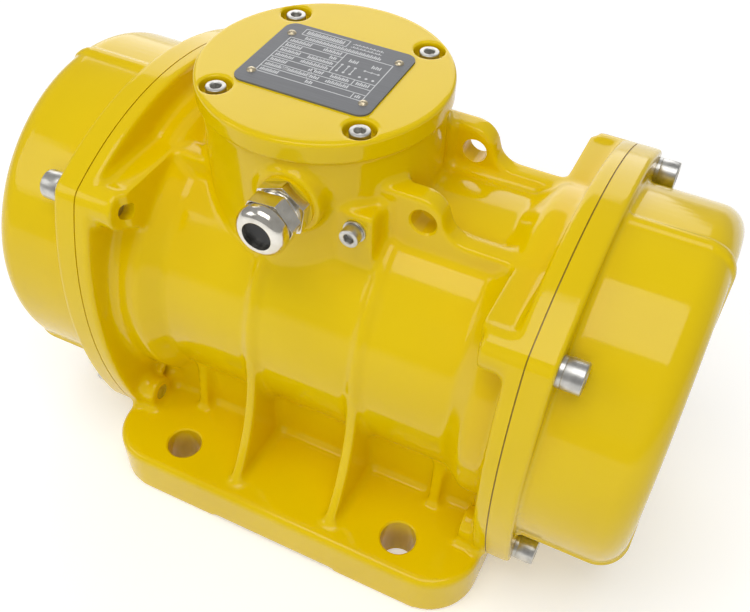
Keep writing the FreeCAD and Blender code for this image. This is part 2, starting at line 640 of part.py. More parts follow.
def bearing_shield(side, word):
    back = "(register_start + shield_thick)"
    outline = [("hub_start", "lip_r"), ("hub_start", "hub_r"), ("register_start", "hub_r"),
               ("register_start", "register_r - clearance"), (back, "register_r - clearance"),
               (back, "hub_r"), ("hub_end", "hub_r"), ("hub_end", "bearing_r"),
               ("bearing_start", "bearing_r"), ("bearing_start", "lip_r")]
    body = turned("shield", [(f"{side} * {x}", r) for x, r in outline])
    holes = [cylinder("shield_hole", "m5_hole_r", "shield_thick + 2",
                      (f"{side} * (register_start - 1)", a, f"axis_height + {b}"),
                      OUTWARD[side]) for a, b in around(6, "shield_screw_at", "shield_screw_turn")]
    holes += [cylinder("cover_thread", "m4_r + clearance", "m4_length",
                       (f"{side} * (hub_end - m4_length + 1)", a, f"axis_height + {b}"),
                       OUTWARD[side]) for a, b in around(4, "bcover_screw_at", 45)]
    node(f"bearing_shield_{word}", cut("bearing_shield", body, *holes))
    screws = [socket_screw("shield_screw", (f"{side} * {back}", a, f"axis_height + {b}"),
                           OUTWARD[side], "m5_head_r", "m5_head", "m5_r", "m5_shield", "m5_key")
              for a, b in around(6, "shield_screw_at", "shield_screw_turn")]
    pairs["shield_screws"] += screws


def bearing_cover(side, word):
    face = "(hub_end + bcover_thick)"
    inner = "race_out_r + 1"
    outline = [(BEARING_END, inner), (BEARING_END, "bearing_r - clearance"),
               ("hub_end", "bearing_r - clearance"), ("hub_end", "hub_r"), (face, "hub_r"),
               (face, "bcover_bore_r"), ("hub_end", "bcover_bore_r"), ("hub_end", inner)]
    body = turned("bearing_cover", [(f"{side} * {x}", r) for x, r in outline])
    places = around(4, "bcover_screw_at", 45)
    holes = [cylinder("bcover_hole", "m4_hole_r", "bcover_thick + 2",
                      (f"{side} * (hub_end - 1)", a, f"axis_height + {b}"), OUTWARD[side])
             for a, b in places]
    node(f"bearing_cover_{word}", cut("bearing_cover", body, *holes))
    screws = [socket_screw("bcover_screw", (f"{side} * {face}", a, f"axis_height + {b}"),
                           OUTWARD[side], "m4_head_r", "m4_head", "m4_r", "m4_length", "m4_key")
              for a, b in places]
    pairs["bearing_cover_screws"] += screws


def bearing(side, word):
    lip_in, lip_out = "(bearing_start + race_lip)", f"({BEARING_END} - race_lip)"
    outline = [("bearing_start", "race_lip_r"), ("bearing_start", "bearing_r - fit"),
               (BEARING_END, "bearing_r - fit"), (BEARING_END, "race_lip_r"),
               (lip_out, "race_lip_r"), (lip_out, "race_out_r"), (lip_in, "race_out_r"),
               (lip_in, "race_lip_r")]
    node(f"bearing_outer_ring_{word}",
         turned("outer_ring", [(f"{side} * {x}", r) for x, r in outline]))
    node(f"bearing_inner_ring_{word}",
         ring("inner_ring", side, "bearing_start", BEARING_END, "shaft_bearing_r + fit",
              "race_in_r"))
    middle = f"({side} * (bearing_start + bearing_width / 2))"
    spots = around(12, "roller_at")
    rollers = [cylinder("roller", "roller_r", "roller_length",
                        (f"{middle} - roller_length / 2", a, f"axis_height + {b}"), "x")
               for a, b in spots]
    node(f"bearing_rollers_{word}", group("rollers", *rollers))
    pockets = [cylinder("pocket", "pocket_r", "roller_length + 4 * clearance",
                        (f"{middle} - roller_length / 2 - 2 * clearance", a,
                         f"axis_height + {b}"), "x") for a, b in spots]
    blank = turned("cage", [(f"{middle} + {end} * cage_half", r) for end, r in
                            ((-1, "cage_in_r"), (1, "cage_in_r"), (1, "cage_out_r"),
                             (-1, "cage_out_r"))])
    node(f"bearing_cage_{word}", cut("bearing_cage", blank, *pockets))
    node(f"grease_ring_{word}", ring("grease_ring", side, BEARING_END, "seat_start",
                                     "shaft_bearing_r + fit", "bcover_bore_r - 6 * clearance"))


# The rotor, its shaft and the eccentric weights

FIXED_END = "(seat_start + weight_thick)"
SWING_START = "(seat_start + weight_thick + weight_gap)"
SWING_END = "(seat_start + 2 * weight_thick + weight_gap)"
CLIP_START = "(seat_start + 2 * weight_thick + 2 * weight_gap)"


def key_slot(side, grow):
    """The room of the key that holds a fixed weight, above the shaft's centre line."""
    start = "seat_start" if side > 0 else f"-{FIXED_END}"
    return block("key_room", "weight_thick", f"key_width + 2 * {grow}",
                 f"2 * key_height + 2 * {grow}",
                 (start, f"-key_width / 2 - {grow}",
                  f"axis_height + shaft_weight_r - key_height - {grow}"))


def motor_shaft():
    outline = [("shaft_end", "0"), ("shaft_end", "shaft_weight_r")]
    clip_end = f"({CLIP_START} + clip_thick)"
    outline += [(clip_end, "shaft_weight_r"), (clip_end, "shaft_weight_r - clip_groove"),
                (CLIP_START, "shaft_weight_r - clip_groove"), (CLIP_START, "shaft_weight_r")]
    outline += [("seat_start", "shaft_weight_r"), ("seat_start", "shaft_bearing_r"),
                ("bearing_start", "shaft_bearing_r"), ("bearing_start", "rotor_bore_r")]
    points = outline + [(f"-{x}", r) for x, r in reversed(outline)]
    node("shaft", cut("shaft", turned("shaft_bar", points), key_slot(-1, "0"),
                      key_slot(1, "0")))


def rotor():
    node("rotor_core", turned("rotor_core", [
        ("-stator_half", "rotor_bore_r + fit"), ("stator_half", "rotor_bore_r + fit"),
        ("stator_half", "rotor_r"), ("-stator_half", "rotor_r")]))
    rings = [ring("end_ring", side, "stator_half", "ring_out", "ring_r_in", "ring_r_out")
             for side in SIDES]
    node("rotor_cage", group("rotor_cage", *rings))
    keys = []
    for side in SIDES:
        start = "seat_start" if side > 0 else f"-{FIXED_END}"
        keys.append(block("key", "weight_thick - clearance", "key_width - clearance",
                          "2 * key_height - clearance",
                          (f"{start} + clearance / 2", "-key_width / 2 + clearance / 2",
                           "axis_height + shaft_weight_r - key_height")))
    node("weight_keys", group("weight_keys", *keys))


def weight_blank(side, near, far):
    """A hub and the sector that hangs below it, with the shaft's bore still to cut."""
    start = near if side > 0 else f"-{far}"
    angle = value("weight_angle")
    sector = doc.addObject("Part::Cylinder", fresh("sector"))
    bind(sector, Radius="weight_r", Height="weight_thick", Angle="weight_angle")
    place(sector, (start, "0", "axis_height"),
          TURNS["x"] * Rotation(Vector(0, 0, 1), -angle / 2))
    hub = cylinder("weight_hub", "weight_hub_r", "weight_thick", (start, "0", "axis_height"),
                   "x")
    bore = cylinder("weight_bore", "shaft_weight_r + clearance", "weight_thick + 2",
                    (f"{start} - 1", "0", "axis_height"), "x")
    return start, [sector, hub], bore


def fixed_weight(side, word):
    _, parts, bore = weight_blank(side, "seat_start", FIXED_END)
    node(f"fixed_weight_{word}", cut("fixed_weight", fuse("weight", *parts), bore,
                                     key_slot(side, "clearance")))


def adjustable_weight(side, word):
    start, parts, bore = weight_blank(side, SWING_START, SWING_END)
    parts.append(block("clamp", "weight_thick", "2 * clamp_half", "clamp_height",
                       (start, "-clamp_half", "axis_height")))
    slit = block("slit", "weight_thick + 2", "slit_width", "clamp_height + 2",
                 (f"{start} - 1", "-slit_width / 2", "axis_height"))
    middle = f"{start} + weight_thick / 2"
    hole = cylinder("clamp_hole", "m5_r + clearance", "2 * clamp_half + 2",
                    (middle, "-clamp_half - 1", "axis_height + clamp_z"), "y")
    node(f"adjustable_weight_{word}",
         cut("adjustable_weight", fuse("weight", *parts), bore, slit, hole))
    node(f"clamp_screw_{word}",
         socket_screw("clamp_screw", (middle, "-clamp_half", "axis_height + clamp_z"), "-y",
                      "m5_head_r", "m5_head", "m5_r", "2 * clamp_half", "m5_key"))


def retaining_ring(side, word):
    blank = ring("clip", side, f"{CLIP_START} + clearance",
                 f"{CLIP_START} + clip_thick - clearance",
                 "shaft_weight_r - clip_groove + clearance", "clip_r")
    start = CLIP_START if side > 0 else f"-({CLIP_START} + clip_thick)"
    mouth = block("clip_mouth", "clip_thick", "shaft_weight_r", "clip_r + 1",
                  (start, "-shaft_weight_r / 2", "axis_height"))
    node(f"retaining_ring_{word}", cut("retaining_ring", blank, mouth))


def stator():
    node("stator_core", turned("stator_core", [
        ("-stator_half", "stator_bore_r"), ("stator_half", "stator_bore_r"),
        ("stator_half", "bore_r - fit"), ("-stator_half", "bore_r - fit")]))
    heads = []
    for side in SIDES:
        head = ring("winding", side, "stator_half", "winding_out", "winding_r_in",
                    "winding_r_out")
        heads.append(rounded(head, "cast_blend", lambda edge: any(
            is_circle(edge, radius, f"{side} * winding_out")
            for radius in ("winding_r_in", "winding_r_out"))))
    node("stator_winding", group("stator_winding", *heads))


# The terminal box: lid, nameplate, terminals, gland and earth screw

def terminal_lid():
    foot, spigot_r = "(term_top - lid_spigot)", "(term_bore_r - 4 * clearance)"
    body = turned("lid", [(foot, "0"), ("lid_top", "0"), ("lid_top", "lid_r"),
                          ("lid_under", "lid_r"), ("lid_under", spigot_r), (foot, spigot_r)],
                  ("term_x", "0", "0"), UPWARD)
    rounded(body, "lid_edge", lambda edge: is_circle(edge, "lid_r", "lid_top"))
    tools = []
    for x, y in terminal_places("lid_screw_at"):
        tools.append(cylinder("lid_sink", "lid_sink_r", "lid_top - lid_seat + 1",
                              (x, y, "lid_seat")))
        tools.append(cylinder("lid_hole", "m5_hole_r", "lid_top - term_top + 2",
                              (x, y, "term_top - 1")))
        tools.append(cylinder("boss_room", "lid_boss_r + 4 * clearance",
                              "lid_under - term_top + lid_spigot + 1",
                              (x, y, "term_top - lid_spigot - 1")))
    tools += [cylinder("rivet_hole", "rivet_shank + clearance", "4 * rivet_head",
                       (x, y, "lid_top - 3 * rivet_head")) for x, y in rivet_places()]
    node("terminal_box_lid", cut("terminal_box_lid", body, *tools))
    seal = turned("lid_seal", [("term_top", "term_bore_r"), ("lid_under", "term_bore_r"),
                               ("lid_under", "term_r - gasket_inset"),
                               ("term_top", "term_r - gasket_inset")],
                  ("term_x", "0", "0"), UPWARD)
    holes = [cylinder("seal_hole", "m5_hole_r", "lid_under - term_top + 2",
                      (x, y, "term_top - 1")) for x, y in terminal_places("lid_screw_at")]
    node("lid_gasket", cut("lid_gasket", seal, *holes))
    screws = [socket_screw("lid_screw", (x, y, "lid_seat"), "z", "m5_head_r", "m5_head", "m5_r",
                           "m5_length", "m5_key") for x, y in terminal_places("lid_screw_at")]
    node("lid_screws", group("lid_screws", *screws))


def rivet_places():
    return [(f"plate_x + {a} * rivet_x", f"plate_y + {b} * rivet_y")
            for a in SIDES for b in SIDES]


def nameplate():
    half_x, half_y = "plate_length / 2", "plate_width / 2"
    corners = [(f"-{half_x}", f"-{half_y}"), (half_x, f"-{half_y}"), (half_x, half_y),
               (f"-{half_x}", half_y)]
    plate = padded("plate", "XY_Plane", corners, "plate_thick",
                   ("plate_x", "plate_y", "lid_top"))
    rounded(plate, "plate_corner", lambda edge: abs(edge.tangentAt(edge.FirstParameter).z) > 0.9)
    holes = [cylinder("plate_hole", "rivet_shank + clearance", "plate_thick + 2",
                      (x, y, "lid_top - 1")) for x, y in rivet_places()]
    node("nameplate", cut("nameplate", plate, *holes))
    seat = "lid_top + plate_thick"
    dome_r = "((rivet_r^2 + rivet_head^2) / (2 * rivet_head))"
    rivets = []
    for x, y in rivet_places():
        ball = doc.addObject("Part::Sphere", fresh("dome"))
        bind(ball, Radius=dome_r)
        place(ball, (x, y, f"{seat} + rivet_head - {dome_r}"))
        head = common("rivet_head", ball,
                      cylinder("rivet_rim", "rivet_r + 1", "rivet_head + 1", (x, y, seat)))
        shank = cylinder("rivet_shank", "rivet_shank", "plate_thick + 2 * rivet_head",
                         (x, y, "lid_top - 2 * rivet_head"))
        rivets.append(fuse("rivet", head, shank))
    node("nameplate_rivets", group("nameplate_rivets", *rivets))


BOARD_TOP = "(term_floor + board_pad + board_thick)"


def stud_places():
    return [(f"term_x + {a} * stud_pitch", f"{b} * stud_row") for a in (-1, 0, 1)
            for b in SIDES]


def terminals():
    board = block("board", "board_length", "board_width", "board_thick",
                  ("term_x - board_length / 2", "-board_width / 2", "term_floor + board_pad"))
    holes = [cylinder("stud_hole", "m4_r + clearance", "board_thick + 2",
                      (x, y, "term_floor + board_pad - 1")) for x, y in stud_places()]
    fixings = [f"term_x + {side} * board_screw" for side in SIDES]
    holes += [cylinder("board_hole", "m4_hole_r", "board_thick + 2",
                       (x, "0", "term_floor + board_pad - 1")) for x in fixings]
    node("terminal_board", cut("terminal_board", board, *holes))
    node("board_screws", group("board_screws", *[
        socket_screw("board_screw", (x, "0", BOARD_TOP), "z", "m4_head_r", "m4_head", "m4_r",
                     "board_thick + board_pad + 2", "m4_key") for x in fixings]))
    node("terminal_studs", group("terminal_studs", *[
        cylinder("stud", "m4_r", "stud_length", (x, y, "term_floor + board_pad"))
        for x, y in stud_places()]))
    links = []
    for a in (-1, 0, 1):
        x = f"term_x + {a} * stud_pitch"
        strip = block("link", "link_width", "2 * stud_row + link_width", "link_thick",
                      (f"{x} - link_width / 2", "-stud_row - link_width / 2", BOARD_TOP))
        holes = [cylinder("link_hole", "m4_r + clearance", "link_thick + 2",
                          (x, f"{b} * stud_row", f"{BOARD_TOP} - 1")) for b in SIDES]
        links.append(cut("terminal_link", strip, *holes))
    node("terminal_links", group("terminal_links", *links))
    node("terminal_nuts", group("terminal_nuts", *[
        cut("stud_nut", hexagon("nut", "nut_hex", "nut_height",
                                (x, y, f"{BOARD_TOP} + link_thick")),
            cylinder("nut_hole", "m4_r + clearance", "nut_height + 2",
                     (x, y, f"{BOARD_TOP} + link_thick - 1"))) for x, y in stud_places()]))


def wire_solid(points, radius, bend):
    """A round wire along straight runs that meet in tangent arcs of one radius."""
    edges, start = [], points[0]
    for before, corner, after in zip(points, points[1:], points[2:]):
        arrive, leave = (corner - before).normalize(), (after - corner).normalize()
        cutback = bend * math.tan(arrive.getAngle(leave) / 2)
        first, last = corner - arrive * cutback, corner + leave * cutback
        inward = (leave - arrive).normalize()
        reach = bend / math.cos(arrive.getAngle(leave) / 2) - bend
        edges += [Part.LineSegment(start, first).toShape(),
                  Part.Arc(first, corner + inward * reach, last).toShape()]
        start = last
    edges.append(Part.LineSegment(start, points[-1]).toShape())
    section = Part.Circle(points[0], (points[1] - points[0]).normalize(), radius).toShape()
    return Part.Wire(edges).makePipeShell([Part.Wire([section])], True, True)


def stator_leads():
    """Three leads from the winding, up through the duct and over to the terminals."""
    radius = value("lead_r")
    step, low = value("lead_step"), value("axis_height + winding_r_out")
    link_top = value(f"{BOARD_TOP} + link_thick")
    nut_side = value("term_x - stud_pitch - nut_hex / sqrt(3) - 3 * clearance")
    duct, row, height = value("duct_x"), value("stud_row"), link_top + radius
    routes = [[Vector(duct, side * step, low), Vector(duct, side * step, height),
               Vector(nut_side, side * row, height)] for side in SIDES]
    over, middle = value(f"{BOARD_TOP} + m4_head + 2 * lead_r"), value("term_x")
    routes.append([Vector(duct, 0, low), Vector(duct, 0, over), Vector(middle, 0, over),
                   Vector(middle, 0, link_top)])
    bundle = doc.addObject("Part::Feature", "stator_leads")
    bundle.Shape = Part.makeCompound([wire_solid(route, radius, value("lead_bend"))
                                      for route in routes])
    node("stator_leads", bundle)


def cable_gland():
    """The gland's pieces, turned about its own axis. Places run outward from the boss."""
    at = ("gland_x", "-gland_face", "gland_z")
    hex_start, neck_start = "gland_ring", "(gland_ring + gland_hex_thick)"
    teeth = 6
    neck_end = f"({neck_start} + {teeth} * gland_thread)"
    nut_start = f"({neck_start} + gland_neck)"
    dome_start = f"({nut_start} + gland_nut_hex)"
    seal_end = f"({neck_end} + gland_seal)"
    front = f"({dome_start} + gland_groove + gland_nut_dome)"

    def out(distance):
        return ("gland_x", f"-gland_face - {distance}", "gland_z")

    def hexed(turn, length, start):
        """A hexagon with its corners taken down to the dome's round."""
        prism = hexagon("gland_hex", "gland_hex", length, out(start), "-y", turn)
        trim = cylinder("gland_trim", "gland_dome_r + gland_groove", length, out(start), "-y")
        return common("gland_hex", prism, trim)

    node("gland_washer", turned("gland_washer", [
        ("0", "gland_thread_r + clearance"), ("gland_ring", "gland_thread_r + clearance"),
        ("gland_ring", "gland_dome_r + gland_groove"), ("0", "gland_dome_r + gland_groove")],
        at, FORWARD))
    root_r = "(gland_neck_r - gland_thread_deep)"
    neck = [("-gland_root", "gland_thread_r"), ("-gland_root", "gland_bore_r"),
            (neck_end, "gland_bore_r")]
    for tooth in reversed(range(teeth)):
        neck += [(f"{neck_start} + {tooth + 1} * gland_thread", root_r),
                 (f"{neck_start} + {tooth + 0.5} * gland_thread", "gland_neck_r")]
    neck += [(neck_start, root_r), (hex_start, root_r), (hex_start, "gland_thread_r")]
    passage = cylinder("gland_bore", "gland_bore_r", "gland_hex_thick + 2",
                       out("(gland_ring - 1)"), "-y")
    flange_hex = cut("gland_flange", hexed("gland_hex_turn", "gland_hex_thick", hex_start),
                     passage)
    node("gland_body", fuse("gland_body", turned("gland_neck", neck, at, FORWARD), flange_hex))
    dome = turned("gland_dome", [
        (dome_start, "0"), (front, "0"), (front, "gland_dome_r"),
        (f"{dome_start} + gland_groove", "gland_dome_r"),
        (f"{dome_start} + gland_groove", "gland_groove_r"), (dome_start, "gland_groove_r")],
        at, FORWARD)
    rounded(dome, "gland_round", lambda edge: is_circle(edge, "gland_dome_r", front))
    hollow = turned("gland_room", [
        (f"{nut_start} - 1", "0"), (f"{front} + 1", "0"), (f"{front} + 1", "gland_mouth_r"),
        (seal_end, "gland_mouth_r"), (seal_end, "gland_seal_r + clearance"),
        (neck_end, "gland_seal_r + clearance"), (neck_end, "gland_neck_r + clearance"),
        (f"{nut_start} - 1", "gland_neck_r + clearance")], at, FORWARD)
    node("gland_nut", cut("gland_nut", fuse("gland_cap", dome, hexed(
        "gland_nut_turn", "gland_nut_hex", nut_start)), hollow))
    node("gland_seal", turned("gland_seal", [
        (neck_end, "gland_mouth_r"), (seal_end, "gland_mouth_r"), (seal_end, "gland_seal_r"),
        (neck_end, "gland_seal_r")], at, FORWARD))
    node("gland_plug", cylinder("gland_plug", "gland_mouth_r - clearance", "gland_plug_thick",
                                out(f"({front} - gland_sink - gland_plug_thick)"), "-y"))


def earth_terminal():
    seat = "earth_face + earth_washer_thick"
    node("earth_washer", cut("earth_washer", cylinder(
        "earth_disc", "earth_washer_r", "earth_washer_thick",
        ("earth_x", "-earth_face", "earth_z"), "-y"), cylinder(
            "earth_room", "m5_r + clearance", "earth_washer_thick + 2",
            ("earth_x", "1 - earth_face", "earth_z"), "-y")))
    node("earth_screw", socket_screw("earth_screw", ("earth_x", f"-({seat})", "earth_z"), "-y",
                                     "m5_head_r", "m5_head", "m5_r", "m5_length", "m5_key"))


motor_housing()
for side, word in SIDES.items():
    weight_cover(side, word)
    cover_fasteners(side)
    bearing_shield(side, word)
    bearing_cover(side, word)
    bearing(side, word)
    fixed_weight(side, word)
    adjustable_weight(side, word)
    retaining_ring(side, word)
for name, pieces in pairs.items():
    node(name, group(name, *pieces))
motor_shaft()
rotor()
stator()
stator_leads()
terminal_lid()
nameplate()
terminals()
cable_gland()
earth_terminal()

doc.recompute()
failed = [obj.Name for obj in doc.Objects if "Invalid" in obj.State or "Error" in obj.State]
if failed:
    raise RuntimeError("features that failed: " + ", ".join(failed))
for obj in nodes:
    if obj.Shape.isNull() or not obj.Shape.isValid() or not obj.Shape.Solids:
        raise RuntimeError(obj.Label + " is no valid solid")
os.makedirs("parts", exist_ok=True)
for obj in nodes:
    obj.Shape.exportStep(f"parts/{obj.Label}.step")
print(len(nodes), "nodes")
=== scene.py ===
import json
import math

import bmesh
import bpy
from mathutils import Euler, Matrix, Vector


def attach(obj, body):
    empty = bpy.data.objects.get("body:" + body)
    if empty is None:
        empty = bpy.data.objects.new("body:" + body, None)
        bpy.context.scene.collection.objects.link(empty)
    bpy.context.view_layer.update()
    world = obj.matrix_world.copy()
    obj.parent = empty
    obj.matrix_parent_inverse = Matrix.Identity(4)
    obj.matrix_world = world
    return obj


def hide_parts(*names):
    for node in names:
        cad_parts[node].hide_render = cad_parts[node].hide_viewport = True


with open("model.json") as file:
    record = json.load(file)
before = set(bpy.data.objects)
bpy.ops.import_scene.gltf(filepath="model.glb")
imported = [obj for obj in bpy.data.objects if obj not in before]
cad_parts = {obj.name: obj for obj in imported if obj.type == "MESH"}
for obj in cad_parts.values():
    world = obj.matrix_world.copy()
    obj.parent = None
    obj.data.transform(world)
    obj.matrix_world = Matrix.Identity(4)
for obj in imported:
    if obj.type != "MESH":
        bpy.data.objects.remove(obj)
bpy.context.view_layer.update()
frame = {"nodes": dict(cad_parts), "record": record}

# Vibration motor: yellow enamelled castings, silver screws, a nickelled gland and a grey
# plate. Metres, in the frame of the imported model: X along the shaft, Z up.

nodes = frame["nodes"]
MM = 0.001


# Small helpers

def select_only(*objects):
    bpy.ops.object.select_all(action="DESELECT")
    for obj in objects:
        obj.select_set(True)
    bpy.context.view_layer.objects.active = objects[0]


def apply_modifier(piece, kind, **settings):
    """Add one modifier and make it part of the mesh."""
    select_only(piece)
    modifier = piece.modifiers.new(kind, kind)
    for name, number in settings.items():
        setattr(modifier, name, number)
    bpy.ops.object.modifier_apply(modifier=modifier.name)


def edit_faces(piece, wanted):
    """Enter edit mode with only the faces that the test picks selected."""
    select_only(piece)
    bpy.ops.object.mode_set(mode="EDIT")
    bpy.ops.mesh.select_mode(type="FACE")
    bpy.ops.mesh.select_all(action="DESELECT")
    mesh = bmesh.from_edit_mesh(piece.data)
    for face in mesh.faces:
        face.select = bool(wanted(face))
    mesh.select_flush(True)
    bmesh.update_edit_mesh(piece.data)


def edit_edges(piece, wanted):
    """Enter edit mode with only the edges that the test picks selected."""
    select_only(piece)
    bpy.ops.object.mode_set(mode="EDIT")
    bpy.ops.mesh.select_mode(type="EDGE")
    bpy.ops.mesh.select_all(action="DESELECT")
    mesh = bmesh.from_edit_mesh(piece.data)
    for edge in mesh.edges:
        edge.select = bool(wanted(edge))
    mesh.select_flush(True)
    bmesh.update_edit_mesh(piece.data)


def leave_edit():
    bpy.ops.object.mode_set(mode="OBJECT")


def settle(piece):
    """Put the piece's place into its mesh, so that its object lies at the origin."""
    select_only(piece)
    bpy.ops.object.transform_apply(location=True, rotation=True, scale=True)


def merged_copy(name, new_name):
    """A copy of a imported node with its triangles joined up."""
    piece = nodes[name].copy()
    piece.data = nodes[name].data.copy()
    piece.name = new_name
    piece.parent = None
    for key in list(piece.keys()):
        del piece[key]
    bpy.context.scene.collection.objects.link(piece)
    edit_faces(piece, lambda face: True)
    bpy.ops.mesh.remove_doubles(threshold=0.002 * MM)
    leave_edit()
    return piece


def dress(piece, body, material, slot, *stands_for):
    """Give a finished piece its material, its body and the nodes that it stands for."""
    piece.data.materials.clear()
    piece.data.materials.append(material)
    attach(piece, body)
    if stands_for:
        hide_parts(*stands_for)
    return piece


# Materials

def linear(code, alpha=1.0):
    """An sRGB hex value such as F0D000 as the linear colour that a shader takes."""
    channels = [int(code[i:i + 2], 16) / 255 for i in (0, 2, 4)]
    return tuple(c / 12.92 if c <= 0.04045 else ((c + 0.055) / 1.055) ** 2.4
                 for c in channels) + (alpha,)


def add(tree, kind, inputs=None, **settings):
    """Add a node with its settings, and set or link its inputs."""
    made = tree.nodes.new(kind)
    for name, setting in settings.items():
        setattr(made, name, setting)
    for name, source in (inputs or {}).items():
        if isinstance(source, bpy.types.NodeSocket):
            tree.links.new(source, made.inputs[name])
        else:
            made.inputs[name].default_value = source
    return made


def material(name, **shader):
    """A new material with its shader's own sockets set. Returns its tree and shader too."""
    made = bpy.data.materials.new(name)
    made.use_nodes = True
    principled = made.node_tree.nodes["Principled BSDF"]
    for socket, number in shader.items():
        principled.inputs[socket.replace("_", " ")].default_value = number
    return made, made.node_tree, principled


def place_on(tree):
    return add(tree, "ShaderNodeTexCoord").outputs["Object"]


def grain(tree, size, detail=2.0):
    """Noise whose features are about this many metres wide."""
    return add(tree, "ShaderNodeTexNoise", {"Vector": place_on(tree), "Scale": 1 / size,
                                            "Detail": detail}).outputs["Fac"]


def shades(tree, fac, *stops):
    """A colour ramp between hex colours, given as (place, colour)."""
    ramp = add(tree, "ShaderNodeValToRGB", {"Fac": fac})
    points = ramp.color_ramp.elements
    while len(points) < len(stops):
        points.new(0.5)
    for point, (spot, code) in zip(points, stops):
        point.position = spot
        point.color = linear(code)
    return ramp.outputs["Color"]


def between(tree, fac, low, high):
    """A number that runs from low to high with the factor."""
    return add(tree, "ShaderNodeMapRange", {"Value": fac, "To Min": low,
                                            "To Max": high}).outputs["Result"]


def bumps(tree, principled, height, depth, edge=0.0):
    """Raise the surface by a height field, over edges rounded by this radius."""
    links = {"Height": height, "Distance": depth}
    if edge:
        links["Normal"] = add(tree, "ShaderNodeBevel", {"Radius": edge}, samples=8
                              ).outputs["Normal"]
    bump = add(tree, "ShaderNodeBump", links)
    tree.links.new(bump.outputs["Normal"], principled.inputs["Normal"])


def gloss_enamel():
    """Sprayed two-pack gloss enamel over a sand casting: a deep even yellow under a clear
    wet gloss, with a faint orange peel and the casting's slow waves below it."""
    made, tree, principled = material("gloss_enamel", IOR=1.38)
    tint = shades(tree, grain(tree, 60 * MM), (0.3, "E6C400"), (0.7, "ECCB00"))
    tree.links.new(tint, principled.inputs["Base Color"])
    rough = between(tree, grain(tree, 9 * MM, 4.0), 0.07, 0.14)
    tree.links.new(rough, principled.inputs["Roughness"])
    peel = add(tree, "ShaderNodeMath", {0: grain(tree, 1.6 * MM), 1: grain(tree, 18 * MM)},
               operation="MULTIPLY")
    bumps(tree, principled, peel.outputs["Value"], 0.02 * MM)
    return made


def plated_steel():
    """Zinc-plated screw steel: pale silver, slightly milky, with fine turning marks."""
    made, tree, principled = material("zinc_plated_steel", Metallic=1.0)
    tint = shades(tree, grain(tree, 3 * MM), (0.3, "B9B8B4"), (0.7, "D6D4CF"))
    tree.links.new(tint, principled.inputs["Base Color"])
    tree.links.new(between(tree, grain(tree, 0.9 * MM, 4.0), 0.26, 0.42),
                   principled.inputs["Roughness"])
    bumps(tree, principled, grain(tree, 0.5 * MM), 0.012 * MM, edge=0.3 * MM)
    return made


def nickelled_brass():
    """Bright nickel on turned brass: a warm mirror silver with fine turning lines."""
    made, tree, principled = material("nickelled_brass", Metallic=1.0)
    tint = shades(tree, grain(tree, 5 * MM), (0.3, "D5D0C4"), (0.7, "EAE6DC"))
    tree.links.new(tint, principled.inputs["Base Color"])
    tree.links.new(between(tree, grain(tree, 2 * MM, 4.0), 0.1, 0.22),
                   principled.inputs["Roughness"])
    bumps(tree, principled, grain(tree, 0.4 * MM), 0.006 * MM, edge=0.35 * MM)
    return made


def etched_plate():
    """Grey anodised aluminium sheet, etched and silky, brushed along its length."""
    made, tree, principled = material("anodised_sheet", Metallic=0.25)
    stretched = add(tree, "ShaderNodeMapping", {"Vector": place_on(tree),
                                                "Scale": (40.0, 1800.0, 1.0)})
    brushed = add(tree, "ShaderNodeTexNoise", {"Vector": stretched.outputs["Vector"],
                                               "Scale": 1.0, "Detail": 3.0})
    tint = shades(tree, brushed.outputs["Fac"], (0.3, "68696C"), (0.7, "757679"))
    tree.links.new(tint, principled.inputs["Base Color"])
    tree.links.new(between(tree, brushed.outputs["Fac"], 0.38, 0.55),
                   principled.inputs["Roughness"])
    bumps(tree, principled, brushed.outputs["Fac"], 0.004 * MM, edge=0.15 * MM)
    return made


def plain(name, low, high, size, rough, depth=0.01, **shader):
    """A finish of two close shades with a fine even texture, for moulded, cast or turned
    pieces. Sizes and depth are in millimetres."""
    made, tree, principled = material(name, **shader)
    tint = shades(tree, grain(tree, size * MM, 3.0), (0.35, low), (0.65, high))
    tree.links.new(tint, principled.inputs["Base Color"])
    tree.links.new(between(tree, grain(tree, 2 * size * MM, 3.0), *rough),
                   principled.inputs["Roughness"])
    bumps(tree, principled, grain(tree, size * MM / 2), depth * MM)
    return made


def layered(name, low, high, pitch, axis, rough, **shader):
    """Thin layers or turns side by side along one axis, with a dark line between them."""
    made, tree, principled = material(name, **shader)
    split = add(tree, "ShaderNodeSeparateXYZ", {"Vector": place_on(tree)})
    turns = add(tree, "ShaderNodeMath", {0: split.outputs[axis], 1: pitch * MM},
                operation="DIVIDE")
    stripe = add(tree, "ShaderNodeMath", {0: turns.outputs["Value"], 1: 1.0},
                 operation="PINGPONG")
    tint = shades(tree, stripe.outputs["Value"], (0.1, low), (0.45, high))
    tree.links.new(tint, principled.inputs["Base Color"])
    tree.links.new(between(tree, grain(tree, 4 * MM), *rough), principled.inputs["Roughness"])
    bumps(tree, principled, stripe.outputs["Value"], 0.1 * MM)
    return made


